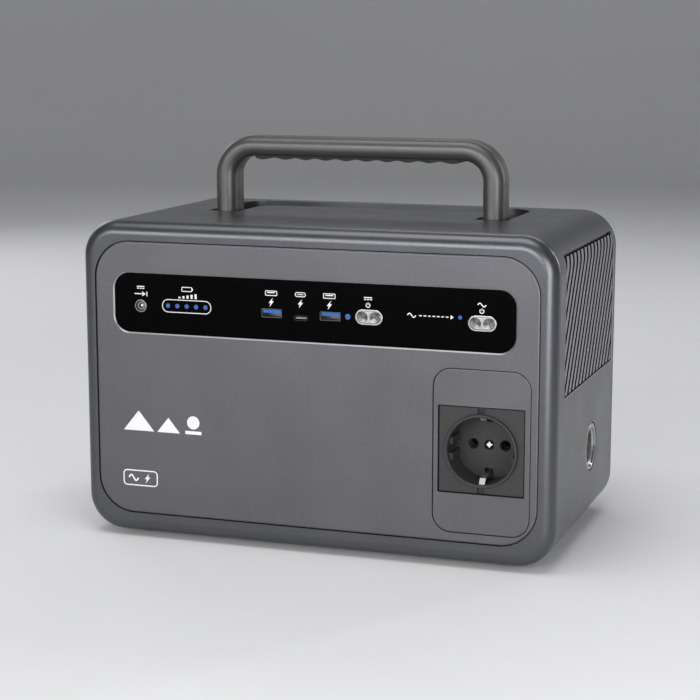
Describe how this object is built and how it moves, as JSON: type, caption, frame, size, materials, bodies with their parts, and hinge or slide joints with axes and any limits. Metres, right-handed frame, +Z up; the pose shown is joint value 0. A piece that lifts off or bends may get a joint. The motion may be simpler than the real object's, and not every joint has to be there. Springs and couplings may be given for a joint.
{
  "type": "portable power station",
  "caption": "Portable battery power station: boxy rounded case, fold-back carry handle, black control strip, earthed mains socket, car socket and slatted side vents.",
  "frame": {"origin": "under the middle of the case, on the plane of the feet", "axes": "+Z up, the front with the controls faces -Y, +X is to the right seen from the front"},
  "size_m": [0.29, 0.1696, 0.238],
  "materials": {
    "aluminium": "extruded",
    "black_plastic": "matte",
    "blue_led": "gloss",
    "board": "satin",
    "brass": "bright",
    "button_metal": "brushed",
    "cell_wrap": "satin",
    "copper_winding": "lacquered",
    "fascia_black": "gloss",
    "ferrite": "matte",
    "foam": "matte",
    "foot_rubber": "matte",
    "grip_rubber": "matte",
    "gunmetal": "satin",
    "handle_grey": "satin",
    "holder": "matte",
    "nickel": "bright",
    "panel_grey": "satin",
    "slat_grey": "satin",
    "socket_grey": "matte",
    "steel": "brushed",
    "switch_grey": "matte",
    "usb_blue": "satin"
  },
  "bodies": {
    "case": {"battery_cells": "cell_wrap", "battery_pad": "foam", "bms_board": "board", "bulk_capacitors": "black_plastic", "bus_strips": "nickel", "button_rims": "button_metal", "car_socket_barrel": "steel", "car_socket_base": "black_plastic", "car_socket_contact": "brass", "car_socket_flange": "steel", "car_socket_nut": "aluminium", "cell_holders": "holder", "control_board": "board", "control_fascia": "fascia_black", "dc_input_jack": "black_plastic", "dc_input_pin": "steel", "fan_frame": "black_plastic", "foot_screws": "steel", "friction_washers": "nickel", "front_bezel": "gunmetal", "front_panel": "panel_grey", "handle_rest_pad": "slat_grey", "handle_well": "gunmetal", "heatsinks": "aluminium", "hinge_pins": "steel", "inner_deck": "aluminium", "inner_screws": "steel", "inverter_board": "board", "main_shell": "gunmetal", "power_transistors": "black_plastic", "rear_cover": "gunmetal", "rear_screws": "steel", "ring_choke": "copper_winding", "rubber_feet": "foot_rubber", "soc_leds": "blue_led", "socket_body": "socket_grey", "socket_contact_sleeves": "brass", "socket_earth_clips": "steel", "socket_plate": "panel_grey", "socket_rear_housing": "holder", "socket_screw": "steel", "status_leds": "blue_led", "tact_switches": "switch_grey", "transformer_coil": "copper_winding", "transformer_core": "ferrite", "usb_a_shells": "steel", "usb_a_tongues": "usb_blue", "usb_c_shell": "steel", "usb_c_tongue": "black_plastic", "vent_slats_left": "slat_grey", "vent_slats_right": "slat_grey", "vent_tray_left": "black_plastic", "vent_tray_right": "black_plastic"},
    "handle": {"handle_front_cover": "handle_grey", "handle_rear_cover": "handle_grey", "handle_grip": "grip_rubber", "handle_screws": "steel"},
    "dc_button": {"dc_power_button": "button_metal"},
    "ac_button": {"ac_power_button": "button_metal"},
    "fan": {"fan_rotor": "black_plastic"}
  },
  "joints": [
    {"name": "handle_fold", "type": "hinge", "parent": "case", "child": "handle", "pos_m": [0, 0.006, 0.18], "axis": [-1, 0, 0], "range_deg": [0, 90]},
    {"name": "dc_button_press", "type": "slide", "parent": "case", "child": "dc_button", "axis": [0, 1, 0], "range_m": [0, 0.0008], "stiffness_N_per_m": 800},
    {"name": "ac_button_press", "type": "slide", "parent": "case", "child": "ac_button", "axis": [0, 1, 0], "range_m": [0, 0.0008], "stiffness_N_per_m": 800},
    {"name": "fan_spin", "type": "hinge", "parent": "case", "child": "fan", "pos_m": [-0.1285, 0.005, 0.134], "axis": [1, 0, 0], "continuous": true}
  ]
}
